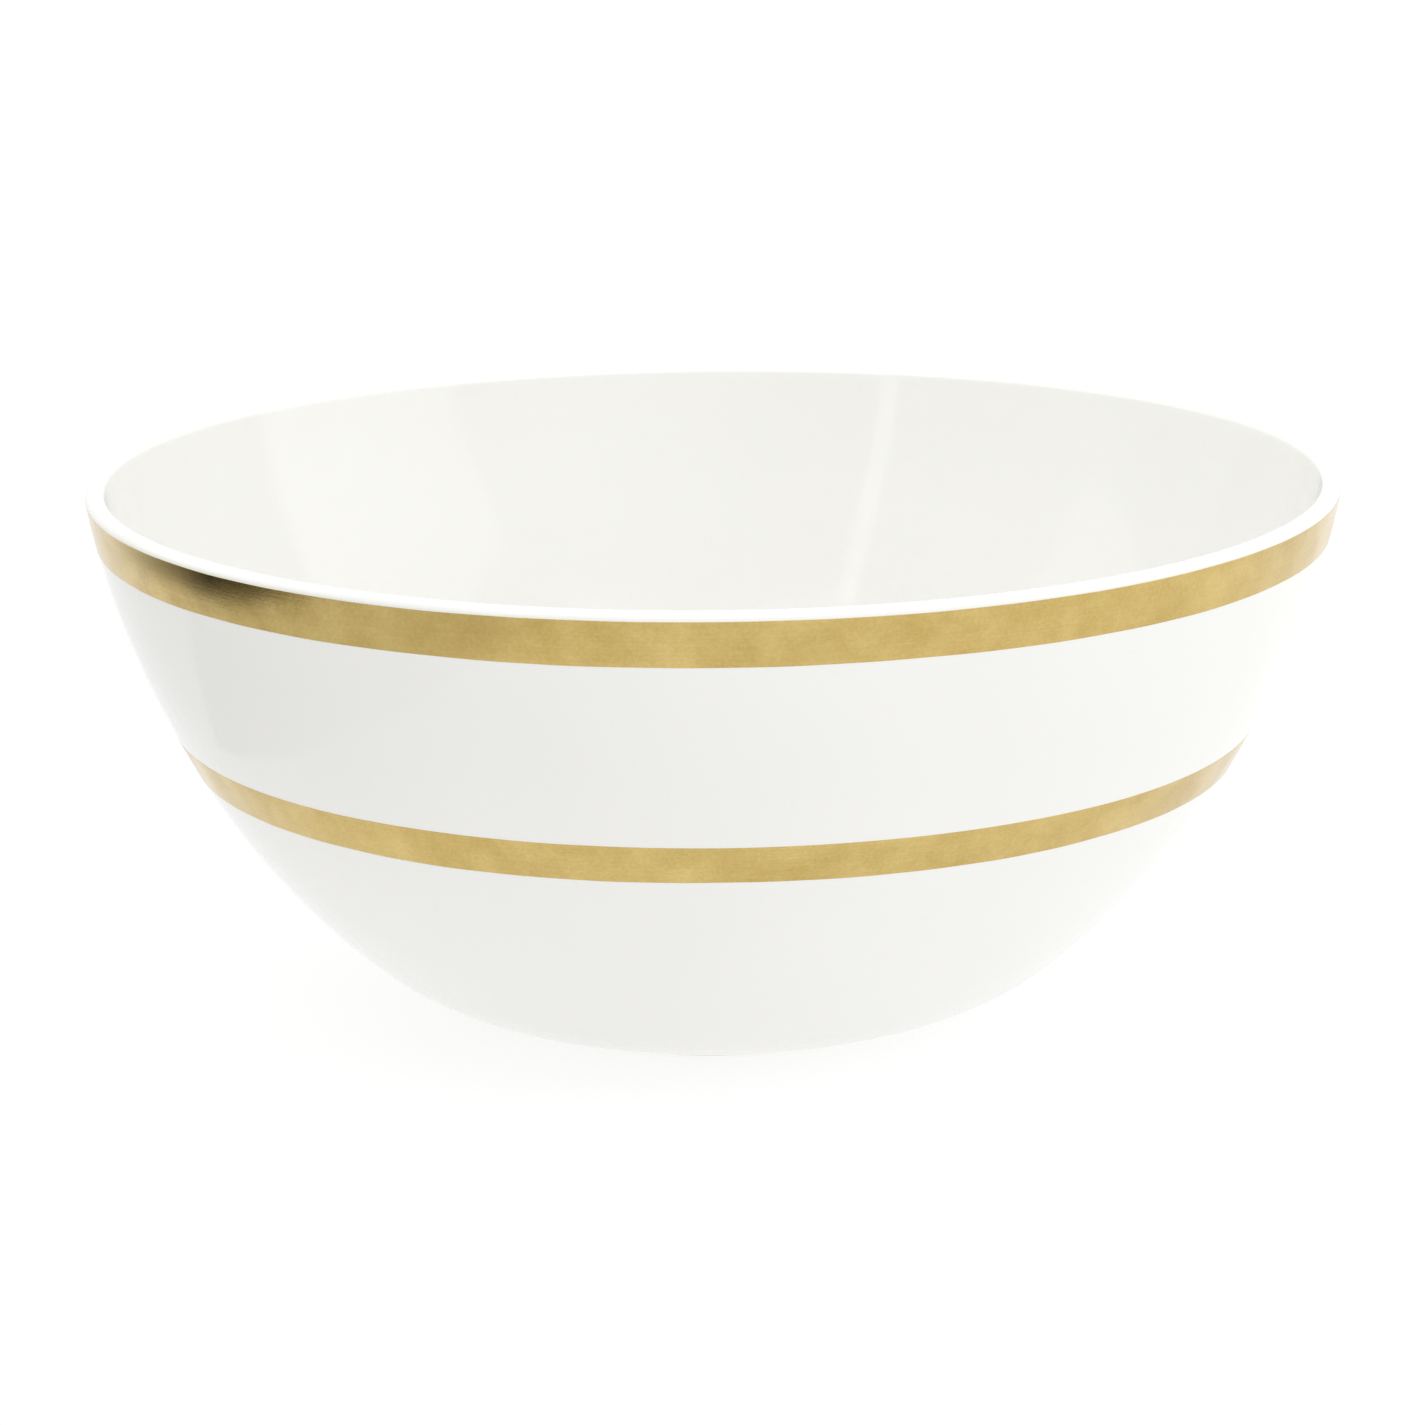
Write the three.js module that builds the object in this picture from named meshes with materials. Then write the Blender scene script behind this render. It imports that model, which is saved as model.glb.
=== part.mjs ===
// A porcelain serving bowl: a glazed body that stands on a low turned foot, with two gold bands
// round the outside.
//
// Frame: +Z is up and is the bowl's own axis. The origin is the middle of the foot's underside,
// on the surface that the bowl stands on. All sizes are in millimetres, all angles in degrees,
// and a slope is the angle of the wall's outside from the horizontal.

import * as THREE from "three";

// --- Driving dimensions ---------------------------------------------------------------------

const RIM_RADIUS = 125; // outside of the wall where it meets the lip
const LIP_WALL = 3.8; // wall thickness at the lip, which is a half ellipse of this width
const LIP_RISE = 1.3; // from the end of the wall to the top of the lip, along the wall
const KNUCKLE_WALL = 4.8; // wall thickness low down, where the side turns into the floor

// The outside is four arcs that run smoothly into each other, from the foot up to the lip.
const FOOT_SLOPE = 7;
const OUTSIDE_ARCS = [
  { radius: 51, startSlope: FOOT_SLOPE, endSlope: 40.5 },
  { radius: 147, startSlope: 40.5, endSlope: 61 },
  { radius: 201, startSlope: 61, endSlope: 69 },
  { radius: 148, startSlope: 69, endSlope: 80 },
];

const FOOT_RISE = 1.3; // the lowest part of the side, above the table
const FOOT_WIDTH = 4.6; // from the foot's outside to its inside
const FOOT_HEIGHT = 3.2; // the whole foot, with the part that is let into the body
const FOOT_EDGE = 0.7; // radius of the foot's two worn bottom edges
const UNDERSIDE_RISE = 2.2; // the recessed underside within the foot, above the table
const FLOOR_RISE = 6.8; // the middle of the bowl's inside, above the table

// A gold band is a ring let into the outside and flush with it. Its place is measured down the
// wall, from the end of the lip to the band's upper edge.
const BAND_WIDTH = 8.6;
const BAND_THICKNESS = 0.4;
const UPPER_BAND_DROP = 0.35;
const LOWER_BAND_DROP = 49.1;

const GAP = 0.3; // clearance between a piece and the piece that it sits in

// --- Fineness of the solids -----------------------------------------------------------------

const AROUND = 60; // flats round the bowl
const WALL_STEP = 5; // most degrees of slope between two points of the outside
const SIDE_STEPS = 8; // along the inside, from the lip down to the knuckle
const FLOOR_STEPS = 8;
const LIP_STEPS = 8;
const FOOT_EDGE_STEPS = 3;

// --- Surfaces -------------------------------------------------------------------------------

const GLAZED_PORCELAIN = { color: 0xf3f2ed, roughness: 0.08, metalness: 0 };
const BARE_PORCELAIN = { color: 0xe6e2d8, roughness: 0.7, metalness: 0 };
const FIRED_GOLD = { color: 0xc9a961, roughness: 0.22, metalness: 1 };

// --- The outside of the wall ----------------------------------------------------------------

const { degToRad, radToDeg, lerp } = THREE.MathUtils;
const sin = (degrees) => Math.sin(degToRad(degrees));
const cos = (degrees) => Math.cos(degToRad(degrees));

const KNUCKLE_SLOPE = OUTSIDE_ARCS[0].endSlope;
const RIM_SLOPE = OUTSIDE_ARCS.at(-1).endSlope;

// The outside's radius at the foot, found by coming in from the rim along every arc.
const FOOT_RADIUS = OUTSIDE_ARCS.reduce(
  (radius, arc) => radius - arc.radius * (sin(arc.endSlope) - sin(arc.startSlope)),
  RIM_RADIUS,
);

// The point of the outside that has this slope, moved `depth` into the wall along its normal.
function wallPoint(slope, depth = 0) {
  let radius = FOOT_RADIUS;
  let height = FOOT_RISE;
  for (const arc of OUTSIDE_ARCS) {
    const reached = Math.min(slope, arc.endSlope);
    if (reached <= arc.startSlope) break;
    radius += arc.radius * (sin(reached) - sin(arc.startSlope));
    height += arc.radius * (cos(arc.startSlope) - cos(reached));
  }
  return new THREE.Vector2(radius - depth * sin(slope), height + depth * cos(slope));
}

// Points up the outside between two slopes, with the joints between the arcs among them.
function wallRun(fromSlope, toSlope, depth = 0) {
  const points = [wallPoint(fromSlope, depth)];
  for (const arc of OUTSIDE_ARCS) {
    const start = Math.max(fromSlope, arc.startSlope);
    const end = Math.min(toSlope, arc.endSlope);
    const steps = Math.max(0, Math.ceil((end - start) / WALL_STEP));
    for (let i = 1; i <= steps; i += 1) points.push(wallPoint(lerp(start, end, i / steps), depth));
  }
  return points;
}

// The slope of the wall at a distance measured down the outside from the end of the lip.
function slopeBelowLip(distance) {
  let left = distance;
  for (const arc of OUTSIDE_ARCS.toReversed()) {
    const slope = arc.endSlope - radToDeg(left / arc.radius);
    if (slope >= arc.startSlope) return slope;
    left -= arc.radius * degToRad(arc.endSlope - arc.startSlope);
  }
  return FOOT_SLOPE;
}

// --- Solids of revolution -------------------------------------------------------------------

// Turns an outline of (radius, height) points about the Z axis. The outline runs up the outside
// and down the inside, and either closes on itself or starts and ends on the axis.
function turned(name, outline, surface) {
  const geometry = new THREE.LatheGeometry(outline, AROUND);
  geometry.rotateX(Math.PI / 2);
  const mesh = new THREE.Mesh(geometry, new THREE.MeshStandardMaterial(surface));
  mesh.name = name;
  return mesh;
}

// Points on a circular arc, both ends included, with angles measured from straight outwards.
function arcPoints(centre, radius, fromAngle, toAngle, steps) {
  const points = [];
  for (let i = 0; i <= steps; i += 1) {
    const angle = lerp(fromAngle, toAngle, i / steps);
    points.push(new THREE.Vector2(radius * cos(angle), radius * sin(angle)).add(centre));
  }
  return points;
}

// --- Bowl body ------------------------------------------------------------------------------

// The flat recessed underside, then the seat that the foot is let into.
function underside() {
  const seatTop = FOOT_HEIGHT + GAP;
  const seatInside = FOOT_RADIUS - FOOT_WIDTH - GAP;
  const seatOutside = FOOT_RADIUS + GAP;
  return [
    new THREE.Vector2(0, UNDERSIDE_RISE),
    new THREE.Vector2(seatInside, UNDERSIDE_RISE),
    new THREE.Vector2(seatInside, seatTop),
    new THREE.Vector2(seatOutside, seatTop),
  ];
}

// The groove that a gold band sits in, listed upwards.
function bandGroove(drop) {
  const from = slopeBelowLip(drop + BAND_WIDTH + GAP);
  const to = slopeBelowLip(drop - GAP);
  return [wallPoint(from), ...wallRun(from, to, BAND_THICKNESS + GAP), wallPoint(to)];
}

// The lip is a half ellipse across the end of the wall, from its outside over to its inside.
function lip() {
  const centre = wallPoint(RIM_SLOPE, LIP_WALL / 2);
  const half = arcPoints(new THREE.Vector2(), LIP_WALL / 2, 0, 180, LIP_STEPS);
  const flattened = half.map((point) => new THREE.Vector2(point.x, (point.y * 2 * LIP_RISE) / LIP_WALL));
  return flattened.map((point) => point.rotateAround(new THREE.Vector2(), degToRad(RIM_SLOPE - 90)).add(centre));
}

// The inside follows the outside down to the knuckle, and the wall grows thicker on the way.
function insideWall() {
  const points = [];
  for (let i = 1; i <= SIDE_STEPS; i += 1) {
    const slope = lerp(RIM_SLOPE, KNUCKLE_SLOPE, i / SIDE_STEPS);
    points.push(wallPoint(slope, lerp(LIP_WALL, KNUCKLE_WALL, i / SIDE_STEPS)));
  }
  return points;
}

// From the knuckle one curve runs inwards, and lies flat in the middle of the bowl.
function floor(knuckle) {
  const turn = knuckle.x - (knuckle.y - FLOOR_RISE) / Math.tan(degToRad(KNUCKLE_SLOPE));
  const curve = new THREE.CubicBezierCurve(
    knuckle,
    new THREE.Vector2(turn, FLOOR_RISE),
    new THREE.Vector2(turn / 2, FLOOR_RISE),
    new THREE.Vector2(0, FLOOR_RISE),
  );
  return curve.getPoints(FLOOR_STEPS).slice(1);
}

function bowlBody() {
  const footSide = FOOT_SLOPE + radToDeg(GAP / OUTSIDE_ARCS[0].radius);
  const lowerBandFoot = slopeBelowLip(LOWER_BAND_DROP + BAND_WIDTH + 2 * GAP);
  const lowerBandHead = slopeBelowLip(LOWER_BAND_DROP - 2 * GAP);
  const upperBandFoot = slopeBelowLip(UPPER_BAND_DROP + BAND_WIDTH + 2 * GAP);
  const inside = insideWall();
  const outline = [
    ...underside(),
    ...wallRun(footSide, lowerBandFoot),
    ...bandGroove(LOWER_BAND_DROP),
    ...wallRun(lowerBandHead, upperBandFoot),
    ...bandGroove(UPPER_BAND_DROP),
    ...lip(),
    ...inside,
    ...floor(inside.at(-1)),
  ];
  return turned("bowl_body", outline, GLAZED_PORCELAIN);
}

// --- Foot ring ------------------------------------------------------------------------------

function footRing() {
  const inner = FOOT_RADIUS - FOOT_WIDTH;
  const innerEdge = new THREE.Vector2(inner + FOOT_EDGE, FOOT_EDGE);
  const outerEdge = new THREE.Vector2(FOOT_RADIUS - FOOT_EDGE, FOOT_EDGE);
  const start = new THREE.Vector2(inner, FOOT_HEIGHT);
  const outline = [
    start,
    ...arcPoints(innerEdge, FOOT_EDGE, 180, 270, FOOT_EDGE_STEPS),
    ...arcPoints(outerEdge, FOOT_EDGE, 270, 360, FOOT_EDGE_STEPS),
    new THREE.Vector2(FOOT_RADIUS, FOOT_HEIGHT),
    start.clone(),
  ];
  return turned("foot_ring", outline, BARE_PORCELAIN);
}

// --- Gold bands -----------------------------------------------------------------------------

function goldBand(name, drop) {
  const bottom = slopeBelowLip(drop + BAND_WIDTH);
  const top = slopeBelowLip(drop);
  const face = wallRun(bottom, top);
  const back = wallRun(bottom, top, BAND_THICKNESS).reverse();
  return turned(name, [...face, ...back, face[0].clone()], FIRED_GOLD);
}

// --- The bowl -------------------------------------------------------------------------------

const bowl = new THREE.Group();
bowl.name = "porcelain_serving_bowl";
bowl.add(
  bowlBody(),
  footRing(),
  goldBand("upper_gold_band", UPPER_BAND_DROP),
  goldBand("lower_gold_band", LOWER_BAND_DROP),
);

export default bowl;
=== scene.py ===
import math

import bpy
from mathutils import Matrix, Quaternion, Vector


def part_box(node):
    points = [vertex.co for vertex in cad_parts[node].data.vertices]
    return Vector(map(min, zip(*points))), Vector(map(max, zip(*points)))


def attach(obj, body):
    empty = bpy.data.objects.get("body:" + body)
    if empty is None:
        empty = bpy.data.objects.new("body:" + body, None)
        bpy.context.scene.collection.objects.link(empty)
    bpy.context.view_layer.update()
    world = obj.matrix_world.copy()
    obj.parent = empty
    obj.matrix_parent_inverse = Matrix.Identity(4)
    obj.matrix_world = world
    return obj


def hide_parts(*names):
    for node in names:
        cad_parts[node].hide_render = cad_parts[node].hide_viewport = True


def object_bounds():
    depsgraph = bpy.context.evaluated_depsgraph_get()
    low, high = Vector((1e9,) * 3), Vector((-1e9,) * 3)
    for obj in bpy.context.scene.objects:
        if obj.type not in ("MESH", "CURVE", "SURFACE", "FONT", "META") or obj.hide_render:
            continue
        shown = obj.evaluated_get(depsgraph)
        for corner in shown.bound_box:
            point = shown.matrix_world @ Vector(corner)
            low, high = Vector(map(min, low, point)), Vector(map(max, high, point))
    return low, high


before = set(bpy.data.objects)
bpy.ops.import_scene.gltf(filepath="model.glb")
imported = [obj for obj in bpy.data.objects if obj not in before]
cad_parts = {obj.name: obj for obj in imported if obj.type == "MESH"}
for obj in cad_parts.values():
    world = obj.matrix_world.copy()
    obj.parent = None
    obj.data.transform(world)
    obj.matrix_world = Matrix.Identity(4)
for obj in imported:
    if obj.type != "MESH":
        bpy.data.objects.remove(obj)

# The looks of a porcelain serving bowl: a fine mesh of every piece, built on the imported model's
# sizes, its glaze, bare clay and gold, and a pale floor with soft studio light.
# Everything is in metres, and a slope is the angle of the wall's outside from the horizontal.

CAD_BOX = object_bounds()

# --- Sizes, from the frame ------------------------------------------------------------------

_, BODY_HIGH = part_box("bowl_body")
_, FOOT_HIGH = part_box("foot_ring")

LIP_TOP = BODY_HIGH.z
RIM_RADIUS = BODY_HIGH.x
RIM_SLOPE = 80.0
KNUCKLE_SLOPE = 40.5  # low down, where the side turns into the floor
FOOT_SLOPE = 7.0
LIP_HALF = 0.0019  # half the wall's thickness at the lip
LIP_RISE = 0.0013  # from the end of the wall to the top of the lip, along the wall

# The outside is four arcs that run smoothly into each other: each has its radius as a share of
# the rim's radius, and the slopes where it starts and ends.
OUTSIDE_ARCS = (
    (0.408, FOOT_SLOPE, KNUCKLE_SLOPE),
    (1.176, KNUCKLE_SLOPE, 61.0),
    (1.608, 61.0, 69.0),
    (1.184, 69.0, RIM_SLOPE),
)
KNUCKLE_WALL = 0.0048
BELLY_GAP = 0.6  # degrees between the outside's lowest slope and its first point on the belly

FOOT_RADIUS = FOOT_HIGH.x
FOOT_WIDTH = 0.0046
GLAZE_LINE = 0.0008  # the glaze on the foot stops this far above the table
GLAZE_THICKNESS = 0.00015
FOOT_EDGE = 0.0007
FOOT_BURIED = 0.0026  # the bare foot runs up to here, out of sight inside the body
UNDERSIDE = 0.0022
UNDERSIDE_FILLET = 0.0012
FOOT_SIDE_SHARE = 0.8  # the foot's glazed side ends at this share of the belly's lowest height
FLOOR_HEIGHT = 0.0068

GOLD_PROUD = 0.00004
GOLD_BURIED = 0.00012
GOLD_EDGE_WANDER = 0.00007  # how far the hand-lined edges wander
EDGE_WAVES = ((7, 0.5), (17, 0.3), (43, 0.2))  # waves round the bowl, and each one's share
EDGE_POWER = 5  # the higher it is, the closer to the band's edges the wander stays

# Firing leaves the rim of such a bowl a little out of true.
RIM_SADDLE = 0.00037  # its left and right stand this much high, its front and back as much low
RIM_LOBES = 0.0004  # depth of three faint lobes, as a share of the radius
LOBE_TURN = 1.9
RIM_SHIFT = 0.0002  # towards +X

# --- Fineness of the meshes -----------------------------------------------------------------

AROUND = 288
SIDE_STEPS = 110
INSIDE_STEPS = 60
FLOOR_STEPS = 40
LIP_STEPS = 32
EDGE_STEPS = 8
BAND_STEPS = 24


def sin(degrees):
    return math.sin(math.radians(degrees))


def cos(degrees):
    return math.cos(math.radians(degrees))


LIP_LEAN = LIP_HALF * cos(RIM_SLOPE)
RIM_HEIGHT = LIP_TOP - LIP_LEAN - math.hypot(LIP_LEAN, LIP_RISE * sin(RIM_SLOPE))


def between(start, end, steps):
    """Evenly spaced values from start to end, both included."""
    return [start + (end - start) * i / steps for i in range(steps + 1)]


# --- The outline ----------------------------------------------------------------------------


def wall_point(slope, depth=0.0):
    """(radius, height) where the outside has this slope, moved depth into the wall."""
    radius, height = RIM_RADIUS, RIM_HEIGHT
    for share, low, high in reversed(OUTSIDE_ARCS):
        reached = max(slope, low)
        if reached < high:
            radius -= share * RIM_RADIUS * (sin(high) - sin(reached))
            height -= share * RIM_RADIUS * (cos(reached) - cos(high))
    return radius - depth * sin(slope), height + depth * cos(slope)


def slope_at(height):
    """The slope of the outside at a height above the table."""
    low, high = FOOT_SLOPE, RIM_SLOPE
    for _ in range(40):
        middle = (low + high) / 2
        if wall_point(middle)[1] < height:
            low = middle
        else:
            high = middle
    return low


def arc(centre, radius, start, end, steps):
    """Points of a circular arc, with angles in degrees from straight outwards."""
    x, z = centre
    return [(x + radius * cos(a), z + radius * sin(a)) for a in between(start, end, steps)]


def bezier(points, steps):
    """Points of a cubic Bezier curve."""
    a, b, c, d = (Vector(p) for p in points)
    curve = []
    for t in between(0.0, 1.0, steps):
        s = 1 - t
        curve.append(tuple(a * s**3 + b * 3 * s * s * t + c * 3 * s * t * t + d * t**3))
    return curve


def inside_outline():
    """The inside, from the lip down to the knuckle and in to the middle of the floor."""
    side = []
    for share in between(0.0, 1.0, INSIDE_STEPS):
        slope = RIM_SLOPE + (KNUCKLE_SLOPE - RIM_SLOPE) * share
        side.append(wall_point(slope, 2 * LIP_HALF + (KNUCKLE_WALL - 2 * LIP_HALF) * share))
    knuckle = side[-1]
    turn = knuckle[0] - (knuckle[1] - FLOOR_HEIGHT) / math.tan(math.radians(KNUCKLE_SLOPE))
    floor = [knuckle, (turn, FLOOR_HEIGHT), (turn / 2, FLOOR_HEIGHT), (0.0, FLOOR_HEIGHT)]
    return side[1:] + bezier(floor, FLOOR_STEPS)[1:]


def foot_outline():
    """The recessed underside and the glazed sides of the foot, from the axis outwards."""
    inner, outer = FOOT_RADIUS - FOOT_WIDTH, FOOT_RADIUS
    edge = GLAZE_THICKNESS
    fillet = UNDERSIDE_FILLET
    belly_height = wall_point(FOOT_SLOPE)[1]
    return [
        (0.0, UNDERSIDE),
        (inner / 2, UNDERSIDE),
        *arc((inner - fillet, UNDERSIDE - fillet), fillet, 90, 0, EDGE_STEPS),
        *arc((inner + edge, GLAZE_LINE + edge), edge, 180, 360, EDGE_STEPS),
        (inner + 3 * edge, UNDERSIDE),
        (outer - 3 * edge, UNDERSIDE),
        *arc((outer - edge, GLAZE_LINE + edge), edge, 180, 360, EDGE_STEPS),
        (outer, belly_height * FOOT_SIDE_SHARE),
    ]


def lip_outline():
    """A half ellipse across the end of the wall, from its outside over to its inside."""
    x, z = wall_point(RIM_SLOPE, LIP_HALF)
    lip = []
    for angle in between(0, 180, LIP_STEPS)[1:]:
        across, along = LIP_HALF * cos(angle), LIP_RISE * sin(angle)
        lip.append((x + across * sin(RIM_SLOPE) + along * cos(RIM_SLOPE),
                    z - across * cos(RIM_SLOPE) + along * sin(RIM_SLOPE)))
    return lip


def body_outline():
    outside = [wall_point(slope) for slope in between(FOOT_SLOPE + BELLY_GAP, RIM_SLOPE, SIDE_STEPS)]
    return foot_outline() + outside + lip_outline() + inside_outline()


# --- Meshes ---------------------------------------------------------------------------------


def fired(radius, height, angle):
    """A point of the bowl after firing, which pulls the rim very slightly out of true."""
    share = (height / LIP_TOP) ** 2
    radius *= 1 + RIM_LOBES * share * math.cos(3 * angle + LOBE_TURN)
    lift = RIM_SADDLE * share * math.cos(2 * angle)
    return radius * math.cos(angle) + RIM_SHIFT * share, radius * math.sin(angle), height + lift


def revolve(name, outline, material, closed=False, wander=None):
    """A mesh of the outline turned about Z. wander(i, angle) shifts outline point i up or down."""
    vertices = []
    rings = []
    for i, (radius, height) in enumerate(outline):
        if radius < 1e-9:
            rings.append([len(vertices)])
            vertices.append((0.0, 0.0, height))
            continue
        rings.append(list(range(len(vertices), len(vertices) + AROUND)))
        for k in range(AROUND):
            angle = 2 * math.pi * k / AROUND
            shift = wander(i, angle) if wander else 0.0
            vertices.append(fired(radius, height + shift, angle))
    faces = []
    pairs = list(zip(rings, rings[1:]))
    if closed:
        pairs.append((rings[-1], rings[0]))
    for low, high in pairs:
        for k in range(AROUND):
            after = (k + 1) % AROUND
            if len(low) == 1:
                faces.append((low[0], high[after], high[k]))
            elif len(high) == 1:
                faces.append((low[k], low[after], high[0]))
            else:
                faces.append((low[k], low[after], high[after], high[k]))
    mesh = bpy.data.meshes.new(name)
    mesh.from_pydata(vertices, [], faces)
    mesh.validate()
    mesh.shade_smooth()
    mesh.materials.append(material)
    piece = bpy.data.objects.new(name, mesh)
    bpy.context.scene.collection.objects.link(piece)
    return piece


def make_body(material):
    body = revolve("porcelain_body", body_outline(), material)
    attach(body, "root")
    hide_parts("bowl_body")


def make_foot(material):
    """The bare clay that the bowl stands on, with worn edges, showing below the glaze."""
    inner = FOOT_RADIUS - FOOT_WIDTH + GLAZE_THICKNESS
    outer = FOOT_RADIUS - GLAZE_THICKNESS
    outline = [
        *arc((inner + FOOT_EDGE, FOOT_EDGE), FOOT_EDGE, 180, 270, EDGE_STEPS),
        *arc((outer - FOOT_EDGE, FOOT_EDGE), FOOT_EDGE, 270, 360, EDGE_STEPS),
        (outer - GLAZE_THICKNESS, FOOT_BURIED),
        (inner + GLAZE_THICKNESS, FOOT_BURIED),
    ]
    foot = revolve("bare_foot", outline, material, closed=True)
    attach(foot, "root")
    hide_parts("foot_ring")


def make_gold_band(node, material, turn, reaches_lip=False):
    """A thin film of gold on the outside, with firm edges that wander a little."""
    low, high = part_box(node)
    bottom = slope_at(low.z)
    top = RIM_SLOPE if reaches_lip else slope_at(high.z)
    margin = (top - bottom) * GOLD_PROUD / (high.z - low.z)
    slopes = [bottom, *between(bottom + margin, top - margin, BAND_STEPS), top]
    face = [wall_point(slope, -GOLD_PROUD) for slope in slopes]
    back = [
        wall_point(top + margin, GOLD_BURIED),
        wall_point(bottom - margin, GOLD_BURIED),
    ]
    outline = face + back
    last = len(face) - 1

    def wander(i, angle):
        if i > last:
            share = 1.0 if i == last + 1 else -1.0
        else:
            share = 2 * (slopes[i] - bottom) / (top - bottom) - 1
        waves = 0.0
        for order, (count, part) in enumerate(EDGE_WAVES, start=1):
            waves += part * math.sin(count * angle + order * turn)
        return GOLD_EDGE_WANDER * share**EDGE_POWER * waves

    band = revolve(f"{node}_film", outline, material, closed=True, wander=wander)
    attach(band, "root")
    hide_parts(node)


# --- Materials ------------------------------------------------------------------------------

# Light from above falls whole on the floor up to the first distance from the bowl's axis, and fades
# to none at the second, where the floor's grey fades to black. A painted glow on the floor makes up
# for it.
SHADE_FADE = (0.09, 0.16)
FLOOR_GREY = 0.28


class Shader:
    """A small helper for building one material's nodes."""

    def __init__(self, name):
        self.material = bpy.data.materials.new(name)
        self.material.use_nodes = True
        self.tree = self.material.node_tree
        self.surface = self.tree.nodes["Principled BSDF"]
        self.place = self.add("ShaderNodeTexCoord").outputs["Object"]

    def add(self, kind, **settings):
        node = self.tree.nodes.new(kind)
        for key, value in settings.items():
            setattr(node, key, value)
        return node

    def link(self, output, target):
        self.tree.links.new(output, target)

    def stretched(self, scale):
        """Object coordinates, scaled along each axis."""
        mapping = self.add("ShaderNodeMapping")
        mapping.inputs["Scale"].default_value = scale
        self.link(self.place, mapping.inputs["Vector"])
        return mapping.outputs["Vector"]

    def noise(self, scale, detail=3.0, roughness=0.5):
        """Noise whose grains are about 1 / scale across; scale may be one value for each axis."""
        axes = scale if isinstance(scale, tuple) else (scale,) * 3
        node = self.add("ShaderNodeTexNoise")
        node.inputs["Scale"].default_value = 1.0
        node.inputs["Detail"].default_value = detail
        node.inputs["Roughness"].default_value = roughness
        self.link(self.stretched(axes), node.inputs["Vector"])
        return node.outputs["Fac"]

    def ramp(self, value, low, high, to_low=0.0, to_high=1.0):
        """value, taken from the range low to high onto another range, and kept in it."""
        node = self.add("ShaderNodeMapRange")
        limits = {"From Min": low, "From Max": high, "To Min": to_low, "To Max": to_high}
        for name, number in limits.items():
            node.inputs[name].default_value = number
        self.link(value, node.inputs["Value"])
        return node.outputs["Result"]

    def mix_colours(self, share, first, second):
        node = self.add("ShaderNodeMix", data_type="RGBA")
        self.link(share, node.inputs["Factor"])
        for name, colour in (("A", first), ("B", second)):
            socket = next(s for s in node.inputs if s.name == name and s.type == "RGBA")
            if isinstance(colour, tuple):
                socket.default_value = (*colour, 1.0)
            else:
                self.link(colour, socket)
        return next(s for s in node.outputs if s.type == "RGBA")

    def maths(self, operation, first, second):
        node = self.add("ShaderNodeMath", operation=operation)
        for socket, value in zip(node.inputs, (first, second)):
            if isinstance(value, float):
                socket.default_value = value
            else:
                self.link(value, socket)
        return node.outputs["Value"]

    def bump(self, height, depth):
        node = self.add("ShaderNodeBump")
        node.inputs["Strength"].default_value = 1.0
        node.inputs["Distance"].default_value = depth
        self.link(height, node.inputs["Height"])
        self.link(node.outputs["Normal"], self.surface.inputs["Normal"])

    def set(self, **values):
        for name, value in values.items():
            self.surface.inputs[name.replace("_", " ")].default_value = value


def glazed_porcelain():
    """Warm white clay under a clear glaze that lies in a very faint orange peel."""
    shader = Shader("glazed_porcelain")
    clouds = shader.ramp(shader.noise(14.0, detail=2.0), 0.35, 0.65)
    colour = shader.mix_colours(clouds, (0.815, 0.811, 0.782), (0.832, 0.828, 0.800))
    specks = shader.ramp(shader.noise(900.0, detail=1.0), 0.76, 0.80, 0.0, 0.12)
    colour = shader.mix_colours(specks, colour, (0.62, 0.58, 0.50))
    shader.link(colour, shader.surface.inputs["Base Color"])
    gloss = shader.ramp(shader.noise(60.0), 0.3, 0.7, 0.06, 0.10)
    shader.link(gloss, shader.surface.inputs["Roughness"])
    shader.bump(shader.noise(180.0, detail=1.5), 0.000008)
    shader.set(IOR=1.5)
    return shader.material


def bare_porcelain():
    """Unglazed clay, ground flat, with fine pores and a little grey from use."""
    shader = Shader("bare_porcelain")
    stains = shader.ramp(shader.noise(120.0, detail=5.0), 0.35, 0.7)
    colour = shader.mix_colours(stains, (0.82, 0.79, 0.72), (0.70, 0.66, 0.58))
    shader.link(colour, shader.surface.inputs["Base Color"])
    rough = shader.ramp(shader.noise(1500.0), 0.3, 0.7, 0.6, 0.85)
    shader.link(rough, shader.surface.inputs["Roughness"])
    shader.bump(shader.noise(3500.0, detail=2.0), 0.00003)
    return shader.material


def fired_gold():
    """Fired gold: fine speckle, cloudy mottling and faint streaks from the banding brush."""
    shader = Shader("fired_gold")
    clouds = shader.ramp(shader.noise(80.0, detail=3.0, roughness=0.6), 0.34, 0.66)
    streaks = shader.ramp(shader.noise((35.0, 35.0, 2600.0), detail=2.0), 0.3, 0.7)
    grain = shader.ramp(shader.noise(1500.0, detail=3.0, roughness=0.7), 0.3, 0.7)
    speckle = shader.maths("MULTIPLY", grain, 0.36)
    brushed = shader.maths("MULTIPLY", streaks, 0.12)
    fine = shader.maths("ADD", speckle, brushed)
    texture = shader.maths("ADD", shader.maths("MULTIPLY", clouds, 0.52), fine)
    colour = shader.mix_colours(texture, (0.50, 0.352, 0.108), (0.70, 0.535, 0.215))
    shader.link(colour, shader.surface.inputs["Base Color"])
    rough = shader.ramp(texture, 0.0, 1.0, 0.22, 0.12)
    shader.link(rough, shader.surface.inputs["Roughness"])
    shader.bump(fine, 0.00001)
    shader.set(Metallic=1.0)
    return shader.material


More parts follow.
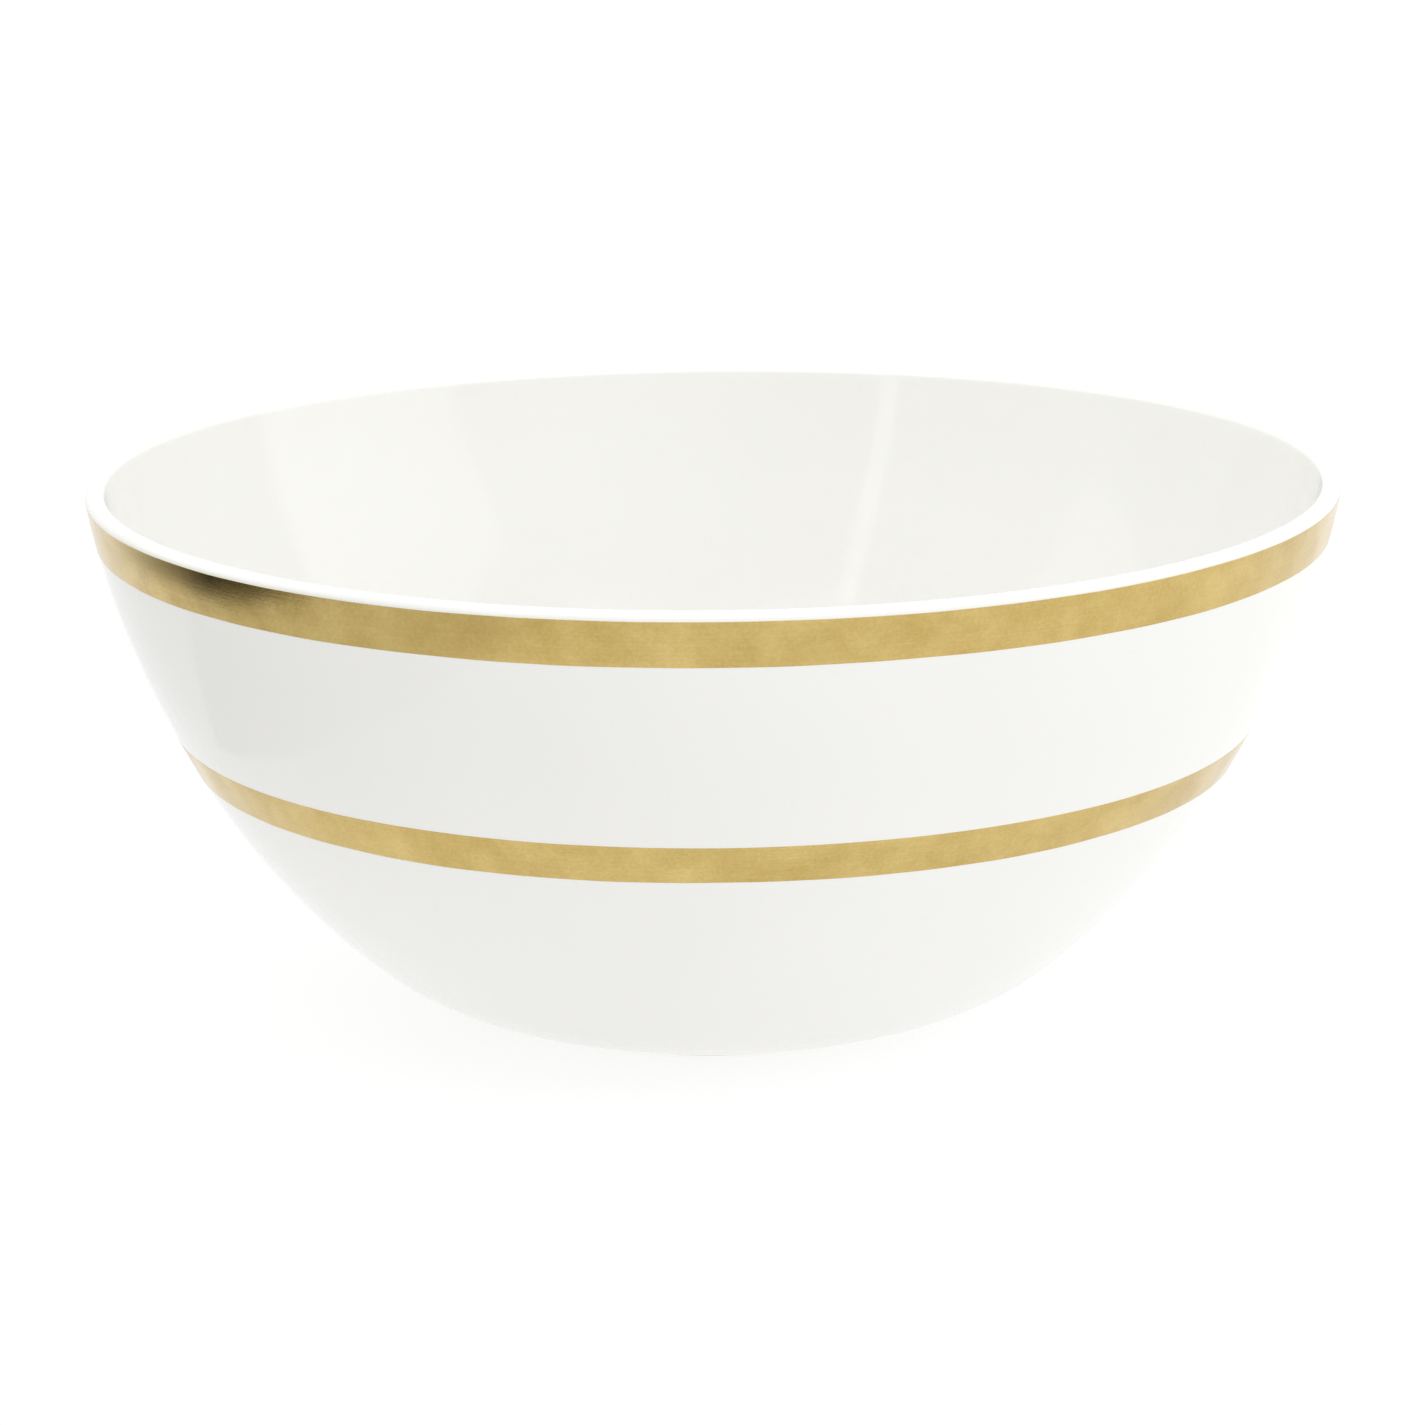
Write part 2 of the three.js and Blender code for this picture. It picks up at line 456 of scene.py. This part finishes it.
def pale_floor():
    """A white table top with a painted glow, brighter to the right as painted light from that side.
    Only round the bowl does it also take light from above, and so a faint shadow."""
    shader = Shader("pale_floor")
    distance = shader.add("ShaderNodeVectorMath", operation="LENGTH")
    shader.link(shader.place, distance.inputs[0])
    apart = shader.ramp(distance.outputs["Value"], *SHADE_FADE)
    colour = shader.mix_colours(apart, (FLOOR_GREY,) * 3, (0.0, 0.0, 0.0))
    shader.link(colour, shader.surface.inputs["Base Color"])
    across = shader.add("ShaderNodeSeparateXYZ")
    shader.link(shader.place, across.inputs["Vector"])
    # painted light: the floor's glow rises towards the right, as if lit from that side
    painted_light_to_right = shader.ramp(across.outputs["X"], -0.05, 0.25, 0.73, 0.83)
    # painted light: past the fade, the glow stands in for the light the floor's grey would have taken
    painted_glow = shader.maths("ADD", painted_light_to_right, shader.maths("MULTIPLY", apart, FLOOR_GREY))
    shader.link(painted_glow, shader.surface.inputs["Emission Strength"])
    shader.set(Roughness=0.8, Specular_IOR_Level=0.0, Emission_Color=(1.0, 1.0, 1.0, 1.0))
    return shader.material


def card_stock(name, near_grey, far_grey):
    """Matt card whose grey changes from its near end to its far end."""
    shader = Shader(name)
    along = shader.add("ShaderNodeSeparateXYZ")
    shader.link(shader.place, along.inputs["Vector"])
    share = shader.ramp(along.outputs["Y"], 0.0, 0.3)
    colour = shader.mix_colours(share, (near_grey,) * 3, (far_grey,) * 3)
    shader.link(colour, shader.surface.inputs["Base Color"])
    shader.set(Roughness=0.95, Specular_IOR_Level=0.0)
    return shader.material


# --- Camera, floor and lights ---------------------------------------------------------------

# The cards' outlines on the table, as (x, y). The bowl's axis is at (0, 0), the camera is at -Y.
GREY_CARD = ((-0.7, -0.7), (-0.125, -0.7), (-0.125, -0.25), (-0.17, 0.03), (-0.7, 0.03))
DARK_CARD = ((-1.6, -0.5), (-0.285, -0.5), (-0.285, -0.06), (-0.31, 0.06), (-0.31, 0.3), (-1.6, 0.3))

# Each soft light's name, azimuth, elevation, distance, width, height and radiance.
SOFTBOXES = (
    ("overhead_box", 0, 80, 1.6, 2.0, 2.0, 0.5),
    ("right_box", 80, 22, 1.6, 1.4, 0.9, 0.7),
    ("left_box", -110, 35, 1.6, 1.2, 0.9, 0.5),
    ("left_strip", -38, 27, 1.4, 0.09, 0.9, 1.1),
)
WORLD_STRENGTH = 1.04

CENTRE = Vector((0.0, 0.0, (CAD_BOX[0].z + CAD_BOX[1].z) / 2))
CAMERA_DISTANCE = 8.204 * RIM_RADIUS
CAMERA_ELEVATION = 14.213
CAMERA_ROLL = -0.576
CAMERA_AIM = Vector((-0.00038, 0.0, 0.00453))  # from the middle of the bowl to the picture's middle
CAMERA_LENS = 127.54


def place_camera():
    away = Vector((0.0, -cos(CAMERA_ELEVATION), sin(CAMERA_ELEVATION)))
    data = bpy.data.cameras.new("camera")
    data.lens = CAMERA_LENS
    data.clip_start = 0.01
    data.clip_end = 50.0
    camera = bpy.data.objects.new("camera", data)
    camera.location = CENTRE + away * CAMERA_DISTANCE
    camera.rotation_mode = "QUATERNION"
    level = (CENTRE + CAMERA_AIM - camera.location).to_track_quat("-Z", "Y")
    camera.rotation_quaternion = level @ Quaternion((0, 0, 1), math.radians(CAMERA_ROLL))
    bpy.context.scene.collection.objects.link(camera)
    bpy.context.scene.camera = camera


def lay_floor():
    """One wide round sheet under the foot."""
    radius, sides = 12.0, 96
    turns = [360 * k / sides for k in range(sides)]
    vertices = [(radius * cos(turn), radius * sin(turn), 0.0) for turn in turns]
    mesh = bpy.data.meshes.new("floor")
    mesh.from_pydata(vertices, [], [tuple(range(sides))])
    mesh.materials.append(pale_floor())
    floor = bpy.data.objects.new("floor", mesh)
    floor.location.z = CAD_BOX[0].z - 0.00005
    bpy.context.scene.collection.objects.link(floor)


def lay_card(name, near_grey, far_grey, height, corners):
    """A card on the table, which the gold and the glaze reflect and which dims the bowl's side. It is
    hidden from the camera and casts no shadow."""
    mesh = bpy.data.meshes.new(name)
    mesh.from_pydata([(x, y, 0.0) for x, y in corners], [], [tuple(range(len(corners)))])
    mesh.materials.append(card_stock(name, near_grey, far_grey))
    card = bpy.data.objects.new(name, mesh)
    card.location.z = CAD_BOX[0].z + height
    card.visible_camera = False
    card.visible_shadow = False
    bpy.context.scene.collection.objects.link(card)


def lay_cards():
    """A grey card left of the bowl, and a dark one beyond it."""
    lay_card("grey_card", 0.66, 0.66, 0.001, GREY_CARD)
    lay_card("dark_card", 0.014, 0.95, 0.002, DARK_CARD)


def softbox(name, azimuth, elevation, distance, width, height, radiance):
    """An area light that faces the bowl. Azimuth 0 is the camera's side, 90 its right."""
    away = Vector((sin(azimuth) * cos(elevation), -cos(azimuth) * cos(elevation), sin(elevation)))
    data = bpy.data.lights.new(name, "AREA")
    data.shape = "RECTANGLE"
    data.size = width
    data.size_y = height
    data.energy = radiance * width * height * math.pi
    light = bpy.data.objects.new(name, data)
    light.location = CENTRE + away * distance
    light.rotation_mode = "QUATERNION"
    light.rotation_quaternion = away.to_track_quat("Z", "Y")
    light.visible_camera = False
    bpy.context.scene.collection.objects.link(light)


def light_room():
    world = bpy.data.worlds.new("studio")
    world.use_nodes = True
    background = world.node_tree.nodes["Background"]
    background.inputs["Color"].default_value = (1.0, 1.0, 1.0, 1.0)
    background.inputs["Strength"].default_value = WORLD_STRENGTH
    bpy.context.scene.world = world
    for box in SOFTBOXES:
        softbox(*box)


def main():
    bpy.context.scene.view_settings.view_transform = "Standard"
    place_camera()
    lay_floor()
    lay_cards()
    light_room()
    porcelain, clay, gold = glazed_porcelain(), bare_porcelain(), fired_gold()
    make_body(porcelain)
    make_foot(clay)
    make_gold_band("upper_gold_band", gold, 0.7, reaches_lip=True)
    make_gold_band("lower_gold_band", gold, 2.9)


main()
